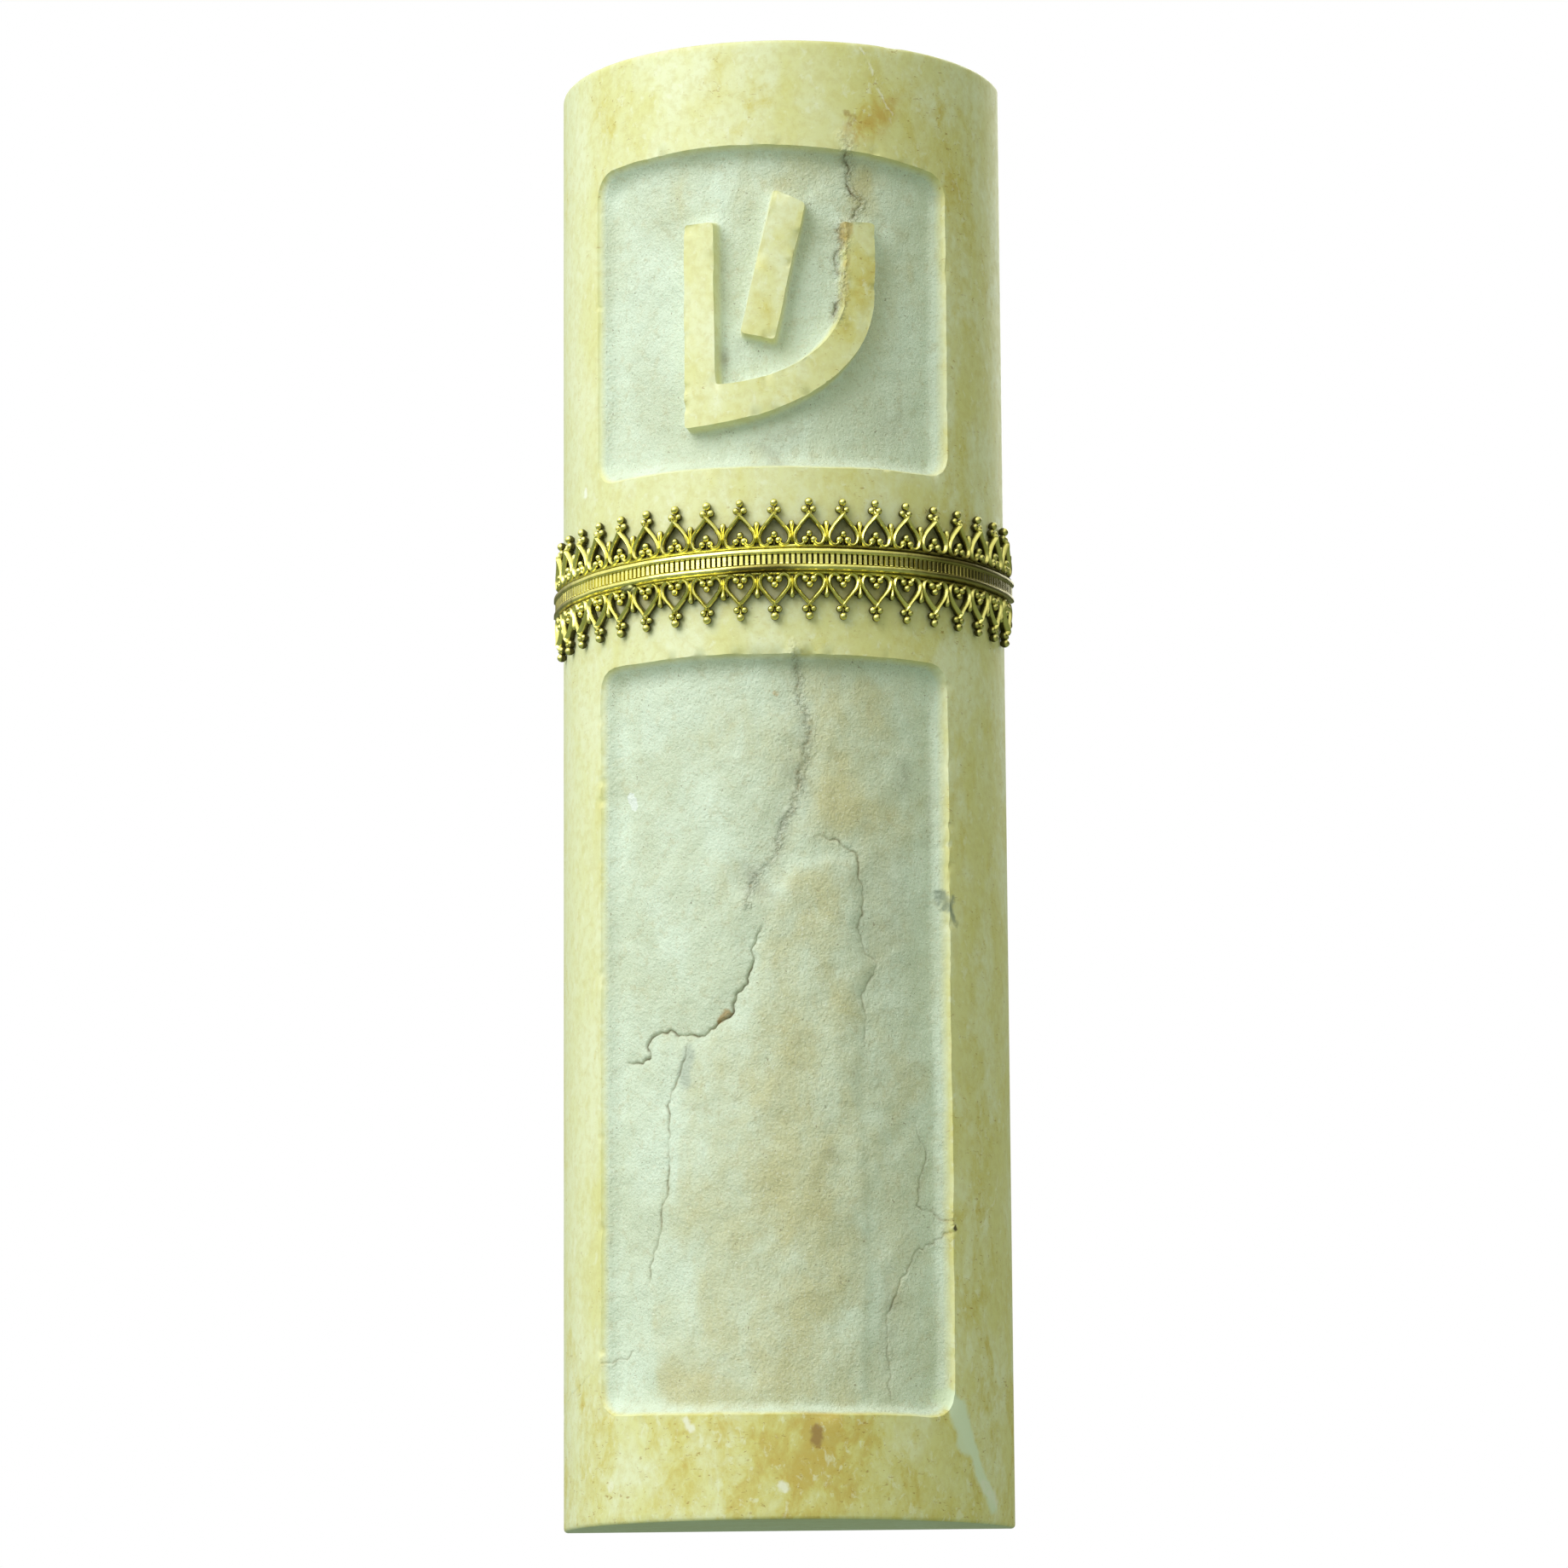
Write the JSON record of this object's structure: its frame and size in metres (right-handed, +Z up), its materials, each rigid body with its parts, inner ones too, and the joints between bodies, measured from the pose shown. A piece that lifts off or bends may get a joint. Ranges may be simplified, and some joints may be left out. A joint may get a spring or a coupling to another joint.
{
  "type": "mezuzah case",
  "caption": "Half-round stone mezuzah case with a raised letter, a pierced brass band, a screwed back cover and a parchment scroll in a clear tube, stuck to a doorpost by foam strips.",
  "frame": {"origin": "middle of the plane where the two foam strips meet the doorpost, half way up the case", "axes": "+Z up along the case as it hangs, +Y from the case into the doorpost (the round front faces -Y), +X to the right seen from the front"},
  "size_m": [0.0418, 0.0199, 0.131],
  "materials": {
    "limestone": "honed, with sandblasted panels",
    "band_brass": "stamped, lightly tarnished",
    "cover_plastic": "fine matt texture",
    "screw_brass": "satin",
    "plug_nylon": "moulded",
    "clear_plastic": "clear, glossy",
    "cap_plastic": "moulded",
    "parchment": "matt skin",
    "pad_foam": "foam with an adhesive face"
  },
  "bodies": {
    "case": {"stone_case": "limestone", "brass_band": "band_brass", "upper_screw_plug": "plug_nylon", "lower_screw_plug": "plug_nylon", "left_pad": "pad_foam", "right_pad": "pad_foam"},
    "cover": {"back_cover": "cover_plastic"},
    "upper_screw": {"upper_screw": "screw_brass"},
    "lower_screw": {"lower_screw": "screw_brass"},
    "scroll": {"scroll_tube": "clear_plastic", "upper_tube_cap": "cap_plastic", "lower_tube_cap": "cap_plastic", "parchment_scroll": "parchment"}
  },
  "joints": [
    {"name": "cover_lift", "type": "slide", "parent": "case", "child": "cover", "axis": [0, 1, 0], "range_m": [0, 0.036]},
    {"name": "upper_screw_out", "type": "slide", "parent": "case", "child": "upper_screw", "axis": [0, 1, 0], "range_m": [0, 0.06]},
    {"name": "lower_screw_out", "type": "slide", "parent": "case", "child": "lower_screw", "axis": [0, 1, 0], "range_m": [0, 0.06]},
    {"name": "scroll_lift", "type": "slide", "parent": "case", "child": "scroll", "axis": [0, 1, 0], "range_m": [0, 0.018]}
  ],
  "couplings": [
    {"joint": "upper_screw_out", "follows": "cover_lift", "ratio": 1.6666},
    {"joint": "lower_screw_out", "follows": "cover_lift", "ratio": 1.6666},
    {"joint": "scroll_lift", "follows": "cover_lift", "ratio": 0.5}
  ]
}
